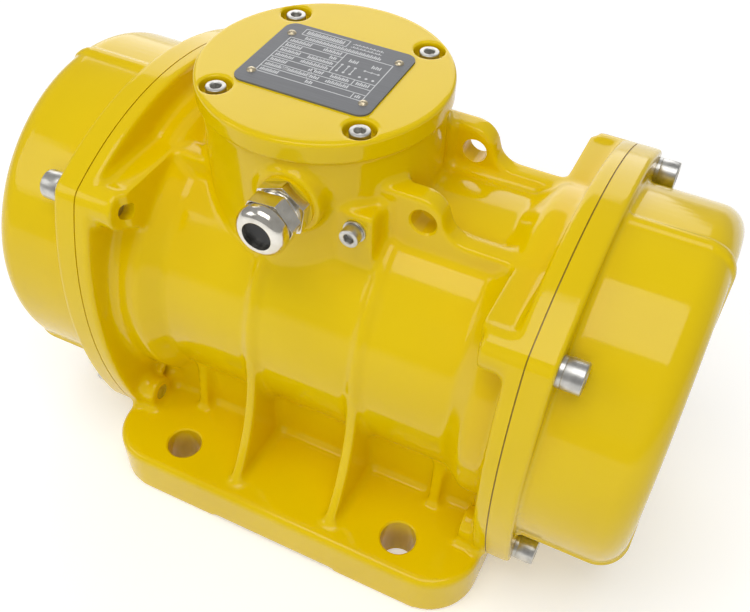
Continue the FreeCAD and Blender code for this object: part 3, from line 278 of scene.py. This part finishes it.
ENAMEL = gloss_enamel()
ZINC = plated_steel()
NICKEL = nickelled_brass()
FINISHES = {
    "yellow_enamel": ENAMEL,
    "screw_steel": ZINC,
    "nickel_brass": NICKEL,
    "plate_grey": etched_plate(),
    # nitrile seals are dull black with a soft bloom
    "gasket_rubber": plain("nitrile_rubber", "161616", "202020", 1.5, (0.6, 0.8)),
    # the blanking disc is moulded polyamide
    "black_plug": plain("black_polyamide", "0C0C0C", "141414", 1.0, (0.35, 0.5)),
    # blind rivets of plain aluminium, tinged warm by the lacquer over the plate
    "rivet_metal": plain("lacquered_aluminium", "B7A98B", "D9CDB2", 1.0, (0.3, 0.45),
                         Metallic=0.9),
    "shaft_steel": plain("ground_steel", "8C8E92", "A2A4A8", 2.0, (0.18, 0.3), Metallic=1.0),
    # phosphated springs are near black and silky
    "spring_steel": plain("phosphated_steel", "2B2B2D", "3A3A3C", 1.5, (0.4, 0.55),
                          Metallic=0.8),
    # stacked electrical sheet shows as fine lines across the shaft
    "core_steel": layered("stacked_sheet_steel", "38393C", "65676B", 1.0, "X", (0.4, 0.6),
                          Metallic=0.9),
    "cast_aluminium": plain("cast_aluminium", "9C9EA1", "B4B6B8", 1.2, (0.4, 0.6), 0.05,
                            Metallic=0.9),
    # lacquered copper wire, turn beside turn
    "copper_winding": layered("lacquered_copper_wire", "5A1D0B", "B4541F", 1.1, "X",
                              (0.2, 0.35), Metallic=0.8),
    "lead_sheath": plain("silicone_sheath", "1B1B1D", "26262A", 1.5, (0.4, 0.55)),
    "shield_iron": plain("cast_iron", "2C2C2E", "3C3C3E", 1.0, (0.55, 0.75), 0.06,
                         Metallic=0.7),
    "bearing_steel": plain("polished_bearing_steel", "B4B6B9", "C8CACC", 2.5, (0.08, 0.16),
                           Metallic=1.0),
    "cage_brass": plain("machined_brass", "B08D3E", "C6A452", 1.5, (0.25, 0.4), Metallic=1.0),
    "ring_steel": plain("turned_steel", "818386", "96989B", 1.5, (0.25, 0.4), Metallic=1.0),
    "weight_steel": plain("flame_cut_steel", "55565A", "6B6C70", 2.0, (0.4, 0.6), 0.04,
                          Metallic=0.9),
    "board_plastic": plain("phenolic_moulding", "1E1410", "2B1D17", 1.2, (0.35, 0.5)),
    "terminal_brass": plain("tinned_brass", "B39A5C", "CDB678", 1.2, (0.25, 0.4),
                            Metallic=1.0),
}

# the edges of the joint seals are sprayed over with the castings' enamel, but their yellow is
# darker than the enamel: painted shade for the shadow line in the joint
SEAL_ENAMEL_PAINTED_SHADE = plain("enamelled_nitrile_painted_shade", "8F7600", "A08500", 1.5, (0.25, 0.4))

for row in frame["record"]["subparts"]:
    piece = nodes[row["node"]]
    piece.data.materials.clear()
    piece.data.materials.append(FINISHES[row["material_slot"]])
# the seals get the darker yellow, painted shade for the joint's shadow line
for name in ("cover_gaskets", "lid_gasket"):
    nodes[name].data.materials[0] = SEAL_ENAMEL_PAINTED_SHADE
nodes["gland_washer"].data.materials[0] = ENAMEL


# Shapes cut from round bar

# places of the holes and machined faces, in millimetres
AXIS_Z = 93.5
BOX_XY = (-20.7, 0)
GLAND_XZ = (-9.5, 177)
EARTH_XZ = (15.6, 165.3)
LUG_XZ = (39.7, 169.8)
FRAME_X, COVER_X = 100, 100.6
BORE_R, REGISTER_R = 57.5, 68
TURN = {"x": (0, math.pi / 2, 0), "-x": (0, -math.pi / 2, 0), "y": (-math.pi / 2, 0, 0),
        "-y": (math.pi / 2, 0, 0), "z": (0, 0, 0), "-z": (math.pi, 0, 0)}
ALONG = {"x": 0, "y": 1, "z": 2}
SCREW_YZ = [(y, AXIS_Z + z) for y in (-67, 67) for z in (-61.2, 61.2)]
SHIELD_YZ = [(63 * math.cos(turn), AXIS_Z + 63 * math.sin(turn))
             for turn in [math.radians(30 + 60 * i) for i in range(6)]]
LID_XY = [(BOX_XY[0] + 45.5 * math.cos(math.radians(angle)),
           45.5 * math.sin(math.radians(angle))) for angle in (45, 135, 225, 315)]
BOARD_XY = [(BOX_XY[0] + side * 21.5, 0) for side in (-1, 1)]
FOOT_XY = [(a * 60, b * 85) for a in (-1, 1) for b in (-1, 1)]


def rod(radius, start, end, at, axis, sides=96):
    """A cylinder between two places along an axis, at the two other places. Millimetres."""
    spot = list(at)
    spot.insert(ALONG[axis], (start + end) / 2)
    bpy.ops.mesh.primitive_cylinder_add(vertices=sides, radius=radius * MM,
                                        depth=abs(end - start) * MM, rotation=TURN[axis],
                                        location=[number * MM for number in spot])
    piece = bpy.context.object
    settle(piece)
    return piece


def taper(wide, narrow, start, end):
    """A cone about the shaft, wide at its start and narrow at its end. Millimetres."""
    bpy.ops.mesh.primitive_cone_add(vertices=128, radius1=wide * MM, radius2=narrow * MM,
                                    depth=abs(end - start) * MM,
                                    rotation=TURN["x" if end > start else "-x"],
                                    location=((start + end) / 2 * MM, 0, AXIS_Z * MM))
    piece = bpy.context.object
    settle(piece)
    return piece


def drill(radius, start, end, at, axis, flare=0.8):
    """A tool for a hole with a broken edge where the drill goes in, which is at its end."""
    way = 1 if end > start else -1
    tool = rod(radius, start, end - way * flare, at, axis)
    step = [0, 0, 0]
    step[ALONG[axis]] = way * (flare + 1) * MM
    spot = list(at)
    spot.insert(ALONG[axis], end)
    growth = 1 + (flare + 1) / radius
    edit_faces(tool, lambda face: face.normal[ALONG[axis]] * way > 0.9)
    bpy.ops.mesh.extrude_region_move(TRANSFORM_OT_translate={"value": step})
    bpy.ops.transform.resize(value=[1 if number else growth for number in step],
                             center_override=[number * MM for number in spot])
    leave_edit()
    return tool


def joined(*pieces):
    select_only(*pieces)
    if len(pieces) > 1:
        bpy.ops.object.join()
    return pieces[0]


def cut_away(piece, tool):
    apply_modifier(piece, "BOOLEAN", operation="DIFFERENCE", object=tool, solver="MANIFOLD")
    bpy.data.objects.remove(tool)


def bore_tool():
    """The bored room of the housing, with the two registers for the bearing shields."""
    tool = rod(BORE_R, -82, 82, (0, AXIS_Z), "x")
    growth = REGISTER_R / BORE_R
    for side in (-1, 1):
        edit_faces(tool, lambda face: face.normal.x * side > 0.9
                   and face.calc_center_median().x * side > 0)
        bpy.ops.mesh.extrude_region_move()
        bpy.ops.transform.resize(value=(1, growth, growth),
                                 center_override=(0, 0, AXIS_Z * MM))
        bpy.ops.mesh.extrude_region_move(
            TRANSFORM_OT_translate={"value": (side * 20 * MM, 0, 0)})
        leave_edit()
    return tool


def terminal_room():
    """The room under the lid, less the bosses of the lid's screws and of the board."""
    room = rod(46.5, 165, 196, BOX_XY, "z")
    bosses = [rod(6.5, 160, 200, spot, "z", 48) for spot in LID_XY]
    bosses += [rod(4.5, 160, 167, spot, "z", 48) for spot in BOARD_XY]
    cut_away(room, joined(*bosses))
    return room


# Castings, whose edges and inner corners are all soft

CASTING = ("motor_housing", "foot_plate", "end_frame_left", "end_frame_right", "housing_ribs",
           "terminal_box", "lifting_lugs")


def form_of(name, *parts):
    """The shape that these nodes make together."""
    piece = joined(*[merged_copy(part, part + "_form") for part in parts])
    piece.name = name
    return piece


def lengthen(piece, at, by):
    """Push out the flat face at this place along the shaft. It is machined back later, so
    that its edge stays crisp. Millimetres."""
    way = 1 if by > 0 else -1
    edit_faces(piece, lambda face: face.normal.x * way > 0.99
               and abs(face.calc_center_median().x - at * MM) < 0.01 * MM)
    bpy.ops.mesh.extrude_region_move(TRANSFORM_OT_translate={"value": (by * MM, 0, 0)})
    leave_edit()


def casting(piece, plugs, voxel, blend, passes):
    """Give the shape the soft surface of a sand casting. Its holes are plugged, its surface
    is grown and shrunk by the blend's radius, which fills every inner corner, and then
    relaxed, which rounds every edge."""
    joined(piece, *plugs)
    for step in (blend, -blend):
        apply_modifier(piece, "REMESH", mode="VOXEL", voxel_size=voxel * MM)
        apply_modifier(piece, "DISPLACE", strength=step * MM, mid_level=0.0)
    apply_modifier(piece, "REMESH", mode="VOXEL", voxel_size=voxel * MM)
    apply_modifier(piece, "SMOOTH", factor=0.5, iterations=passes)


def finish_casting(piece, most):
    """Thin out the skin to this many triangles and shade it, sharp only where machined."""
    triangles = sum(len(face.vertices) - 2 for face in piece.data.polygons)
    apply_modifier(piece, "DECIMATE", ratio=min(1.0, most / triangles))
    select_only(piece)
    bpy.ops.object.shade_smooth_by_angle(angle=math.radians(38))


def housing_casting():
    """The housing's seven nodes as the one casting that they are, with its holes drilled."""
    piece = form_of("housing_casting", *CASTING)
    for side in (-1, 1):
        lengthen(piece, side * FRAME_X, side * 4)
    plugs = [rod(68.6, -103.9, 103.9, (0, AXIS_Z), "x"), rod(47, 150, 194.9, BOX_XY, "z"),
             rod(11, -53.4, -30, GLAND_XZ, "y"), rod(3, -43.9, -24, EARTH_XZ, "y"),
             rod(6, -31.9, -22.1, LUG_XZ, "y"), rod(6, 22.1, 31.9, LUG_XZ, "y")]
    plugs += [rod(9, 0.1, 24.9, spot, "z") for spot in FOOT_XY]
    plugs += [rod(5, side * 85.1, side * 103.9, spot, "x") for side in (-1, 1)
              for spot in SCREW_YZ]
    # the upper ears reach as far as the web behind them
    plugs += [rod(9.5, side * 82, side * 95, spot, "x") for side in (-1, 1)
              for spot in SCREW_YZ if spot[1] > AXIS_Z]
    # the shoulders run out in a long soft slope
    plugs += [taper(75.6, 66.6, side * 80, side * 68) for side in (-1, 1)]
    casting(piece, plugs, 0.95, 2.4, 3)
    cut_away(piece, joined(*[rod(130, side * FRAME_X, side * 110, (0, AXIS_Z), "x")
                             for side in (-1, 1)]))

    tools = [drill(8.5, -1, 25, spot, "z") for spot in FOOT_XY]
    tools += [drill(4.05, side * 101, side * 79, spot, "x", 0.3) for side in (-1, 1)
              for spot in SCREW_YZ]
    tools += [rod(2.55, 179, 196, spot, "z", 32) for spot in LID_XY]
    tools += [rod(2.05, 162, 168, spot, "z", 32) for spot in BOARD_XY]
    tools += [rod(2.55, side * 70, side * 86, spot, "x", 32) for side in (-1, 1)
              for spot in SHIELD_YZ]
    tools.append(drill(10.05, -32, -53.5, GLAND_XZ, "y", 0.5))
    tools.append(drill(2.55, -28, -44, EARTH_XZ, "y", 0.4))
    tools.append(drill(5.6, -10, -32, LUG_XZ, "y"))
    tools.append(drill(5.6, 10, 32, LUG_XZ, "y"))
    cut_away(piece, joined(*tools))
    cut_away(piece, bore_tool())
    cut_away(piece, terminal_room())
    cut_away(piece, rod(7, 94.5, 166, (-50, 0), "z"))
    finish_casting(piece, 185000)
    dress(piece, "housing", ENAMEL, "yellow_enamel", *CASTING)


def cover_castings():
    """The right cover, and the left one as its mirror image."""
    right = form_of("right_cover_casting", "weight_cover_right")
    lengthen(right, COVER_X, -4)
    plugs = [rod(5, 96.7, 111.4, spot, "x") for spot in SCREW_YZ]
    casting(right, plugs, 0.65, 1.2, 3)
    face = rod(120, 90, COVER_X, (0, AXIS_Z), "x")
    cut_away(face, rod(67.95, 85, 110, (0, AXIS_Z), "x"))
    cut_away(right, face)
    cut_away(right, joined(*[rod(4.5, 96, 112, spot, "x") for spot in SCREW_YZ]))
    cut_away(right, joined(*[rod(6.7, 111.5, 122, spot, "x") for spot in SCREW_YZ]))
    finish_casting(right, 150000)
    left = right.copy()
    left.data = right.data.copy()
    left.name = "left_cover_casting"
    bpy.context.scene.collection.objects.link(left)
    select_only(left)
    bpy.ops.transform.mirror(constraint_axis=(True, False, False))
    settle(left)
    edit_faces(left, lambda face: True)
    bpy.ops.mesh.normals_make_consistent(inside=False)
    leave_edit()
    for piece, side in ((left, "left"), (right, "right")):
        dress(piece, "housing", ENAMEL, "yellow_enamel", f"weight_cover_{side}")


def lid_casting():
    """The lid, with soft edges round its rim and its four screw recesses."""
    piece = form_of("lid_casting", "terminal_box_lid")
    casting(piece, [rod(3.2, 193.1, 199.2, spot, "z") for spot in LID_XY], 0.5, 0.6, 4)
    cut_away(piece, joined(*[rod(2.8, 190, 206, spot, "z", 48) for spot in LID_XY]))
    finish_casting(piece, 120000)
    dress(piece, "housing", ENAMEL, "yellow_enamel", "terminal_box_lid")


housing_casting()
cover_castings()
lid_casting()


# Screws

def cap_screw(head_r, head, key, shank_r, shank):
    """A socket head cap screw on the origin, its head upward, with a chamfered rim and a
    hexagon socket that ends in the drill's cone. Millimetres."""
    piece = rod(head_r, 0, head, (0, 0), "z", 72)
    edit_edges(piece, lambda edge: min(v.co.z for v in edge.verts) > (head - 0.01) * MM)
    bpy.ops.mesh.bevel(offset=0.09 * head_r * MM, segments=3)
    bpy.ops.mesh.select_all(action="DESELECT")
    leave_edit()
    edit_edges(piece, lambda edge: max(v.co.z for v in edge.verts) < 0.01 * MM)
    bpy.ops.mesh.bevel(offset=0.03 * head_r * MM, segments=2)
    leave_edit()
    edit_faces(piece, lambda face: face.normal.z < -0.99)
    bpy.ops.mesh.extrude_region_move()
    inward = shank_r / (head_r * 0.97)
    bpy.ops.transform.resize(value=(inward, inward, 1), center_override=(0, 0, 0))
    bpy.ops.mesh.extrude_region_move(TRANSFORM_OT_translate={"value": (0, 0, -shank * MM)})
    leave_edit()
    socket = rod(key / math.sqrt(3), 0.45 * head, head + 1, (0, 0), "z", 6)
    edit_faces(socket, lambda face: face.normal.z < -0.9)
    bpy.ops.mesh.extrude_region_move(
        TRANSFORM_OT_translate={"value": (0, 0, -0.14 * key * MM)})
    bpy.ops.transform.resize(value=(0.1, 0.1, 1), center_override=(0, 0, 0))
    leave_edit()
    cut_away(piece, socket)
    mouth = drill(key / math.sqrt(3) * 0.93, 0.6 * head, head, (0, 0), "z", 0.09 * key)
    cut_away(piece, mouth)
    select_only(piece)
    bpy.ops.object.shade_smooth_by_angle(angle=math.radians(30))
    return piece


def screw_set(name, pattern, seats, node):
    """Copies of one screw, each turned a little further than the one before. A seat gives
    the way that the head points and its place in millimetres."""
    copies = []
    for index, (axis, spot) in enumerate(seats):
        screw = pattern.copy()
        screw.data = pattern.data.copy()
        bpy.context.scene.collection.objects.link(screw)
        own = Matrix.Rotation(math.radians(23 + 37 * index), 4, "Z")
        turn = Euler(TURN[axis]).to_matrix().to_4x4()
        screw.matrix_world = Matrix.Translation(Vector(spot) * MM) @ turn @ own
        settle(screw)
        copies.append(screw)
    piece = joined(*copies)
    piece.name = name
    dress(piece, "housing", ZINC, "screw_steel", node)


def all_screws():
    m8 = cap_screw(6.5, 8, 6, 4, 28)
    screw_set("cover_cap_screws", m8, [(axis, (x, y, z)) for axis, x in
                                       (("-x", -113.3), ("x", 113.3)) for y, z in SCREW_YZ],
              "cover_screws")
    m5 = cap_screw(4.25, 5, 4, 2.5, 14)
    screw_set("lid_cap_screws", m5, [("z", (x, y, 199.3)) for x, y in LID_XY], "lid_screws")
    screw_set("earth_cap_screw", m5, [("-y", (EARTH_XZ[0], -45, EARTH_XZ[1]))],
              "earth_screw")
    bpy.data.objects.remove(m8)
    bpy.data.objects.remove(m5)


all_screws()


# The etching on the plate

PLATE = (-20, -1, 205.7)


def inlay(low_u, low_v, high_u, high_v):
    """A pale etched patch between two corners on the plate, from its middle. Millimetres."""
    middle = ((low_u + high_u) / 2 + PLATE[0], (low_v + high_v) / 2 + PLATE[1], PLATE[2])
    bpy.ops.mesh.primitive_cube_add(size=MM, location=[number * MM for number in middle],
                                    scale=(high_u - low_u, high_v - low_v, 0.06))
    return bpy.context.object


def rule(u, v, length, upright=False, width=0.36):
    """A line from a place on the plate, to the right or upward."""
    across = (width / 2, length) if upright else (length, width / 2)
    back = (width / 2, 0) if upright else (0, width / 2)
    return inlay(u - back[0], v - back[1], u + across[0], v + across[1])


def marks(u, v, length, height=2.3):
    """A filled field: upright strokes side by side, some of them short."""
    made = []
    for index in range(int(length / 0.85)):
        drop = (0, 0.6, 0.15, 0.8)[(index * 7 + int(length)) % 4]
        made.append(inlay(u + 0.85 * index, v, u + 0.85 * index + 0.48, v + height - drop))
    return made


def link_symbol(u, v, joined_up):
    """Six terminals in two rows, linked upright in pairs or side by side along the top."""
    spots = [(u + 3 * column, v + 5 * row) for column in range(3) for row in range(2)]
    made = [rod(0.6, PLATE[2] - 0.03, PLATE[2] + 0.03, (x + PLATE[0], y + PLATE[1]), "z", 24)
            for x, y in spots]
    if joined_up:
        return made + [rule(u + 3 * column, v, 5, True) for column in range(3)]
    return made + [rule(u, v + 5, 6)]


def plate_etching():
    """The frame, rules, filled fields and link symbols of a rating plate."""
    rows = [13.2, 9.1, 5.0, 0.9, -3.2, -7.3, -11.4, -15.5]
    made = [rule(-24, row, 48) for row in (rows[0], rows[4], rows[5], rows[6], rows[7])]
    made += [rule(-24, row, 27) for row in rows[1:4]]
    made += [rule(-24, rows[7], rows[0] - rows[7], True),
             rule(24, rows[7], rows[0] - rows[7], True), rule(3, rows[4], 16.4, True),
             rule(-3, rows[6], 8.2, True), rule(15, rows[5], 4.1, True),
             rule(19, rows[7], 4.1, True)]
    made += [rule(-21, 17.4, 21), rule(-21, 22.2, 21), rule(-21, 17.4, 4.8, True),
             rule(0, 17.4, 4.8, True)]
    made += marks(-19.4, 18.4, 18, 2.9) + marks(2, 20.3, 15, 1.3) + marks(2, 18.0, 15, 1.3)
    made += marks(-18, 14.3, 36)
    fields = [(11, 9), (8, 4), (10, 12), (9, 13), (8, 7), (11, 17), (9, 4)]
    for row, words in zip(rows[1:], fields):
        made += marks(-22.8, row + 1.1, words[0])
        made += marks(2 - words[1], row + 1.1, words[1])
    made += marks(5, rows[5] + 1.1, 8.5) + marks(16.5, rows[5] + 1.1, 6)
    made += marks(5, rows[6] + 1.1, 11) + marks(20.2, rows[7] + 1.1, 3)
    made += link_symbol(5.2, -0.6, True) + link_symbol(15.6, -0.6, False)
    made += marks(6.4, 7.4, 4.5) + marks(16.8, 7.4, 4.5)
    piece = joined(*made)
    piece.name = "plate_etching"
    settle(piece)
    # bare aluminium where the grey dye is etched away
    bare = plain("bare_aluminium", "CFD0D1", "DADBDC", 1.0, (0.35, 0.5), Metallic=0.2)
    dress(piece, "housing", bare, "plate_grey")


plate_etching()


# The floor, the lamps and the camera

def studio():
    """A pale floor, four soft boxes and a pale surround."""
    bpy.ops.mesh.primitive_plane_add(size=12, location=(0, 0, 0))
    floor = bpy.context.object
    floor.name = "floor"
    made, tree, principled = material("matt_paper", Roughness=0.9, Specular_IOR_Level=0.1)
    tint = shades(tree, grain(tree, 0.4), (0.4, "F2F2F2"), (0.6, "F5F5F5"))
    tree.links.new(tint, principled.inputs["Base Color"])
    path = add(tree, "ShaderNodeLightPath").outputs
    seen = add(tree, "ShaderNodeMath", {0: path["Is Camera Ray"], 1: path["Is Glossy Ray"]},
               operation="MAXIMUM").outputs["Value"]
    seen = add(tree, "ShaderNodeMath", {0: seen, 1: path["Is Transmission Ray"]},
               operation="MAXIMUM").outputs["Value"]
    principled.inputs["Emission Color"].default_value = (1, 1, 1, 1)
    tree.links.new(between(tree, seen, 0.0, 0.3), principled.inputs["Emission Strength"])
    floor.data.materials.append(made)

    for name, spot, aim, size, radiance in (
            ("back_box", (-0.85, 1.8, 0.8), (0, 0, 0.1), (2.1, 1.5), 1.8),
            ("top_box", (0.05, -0.35, 1.5), (0.05, -0.04, 0), (1.1, 0.9), 2.6),
            ("left_box", (-1.5, -1.1, 1.2), (0, 0, 0.1), (0.9, 0.9), 1.7),
            ("front_box", (0.5, -2.2, 1.1), (0, 0, 0.1), (2.2, 1.2), 1.5)):
        lamp = bpy.data.lights.new(name, "AREA")
        lamp.shape = "RECTANGLE"
        lamp.size, lamp.size_y = size
        lamp.energy = radiance * math.pi * size[0] * size[1]
        holder = bpy.data.objects.new(name, lamp)
        bpy.context.scene.collection.objects.link(holder)
        holder.location = spot
        holder.rotation_euler = (Vector(aim) - Vector(spot)).to_track_quat("-Z", "Y").to_euler()
        # the front box only fills the shade and shows in no reflection
        holder.visible_glossy = name != "front_box"

    world = bpy.data.worlds.new("white_surround")
    bpy.context.scene.world = world
    world.use_nodes = True
    tree = world.node_tree
    background = tree.nodes["Background"]
    background.inputs["Color"].default_value = (1, 1, 1, 1)
    background.inputs["Strength"].default_value = 0.36
    bpy.context.scene.view_settings.view_transform = "Standard"


def photographer():
    """The camera stands to the front right and looks down on the motor."""
    spot = Vector((144.4, -295.0, 409.4)) * MM
    aim = Vector((25.6, -32.0, 93.5)) * MM
    roll = math.radians(2.29)
    data = bpy.data.cameras.new("camera")
    data.sensor_width = 36
    data.lens = 44.48
    data.shift_x = -0.0144
    data.shift_y = 0.0461
    camera = bpy.data.objects.new("camera", data)
    bpy.context.scene.collection.objects.link(camera)
    turn = (aim - spot).to_track_quat("-Z", "Y").to_matrix() @ Matrix.Rotation(roll, 3, "Z")
    camera.matrix_world = Matrix.Translation(spot) @ turn.to_4x4()
    bpy.context.scene.camera = camera


studio()
photographer()
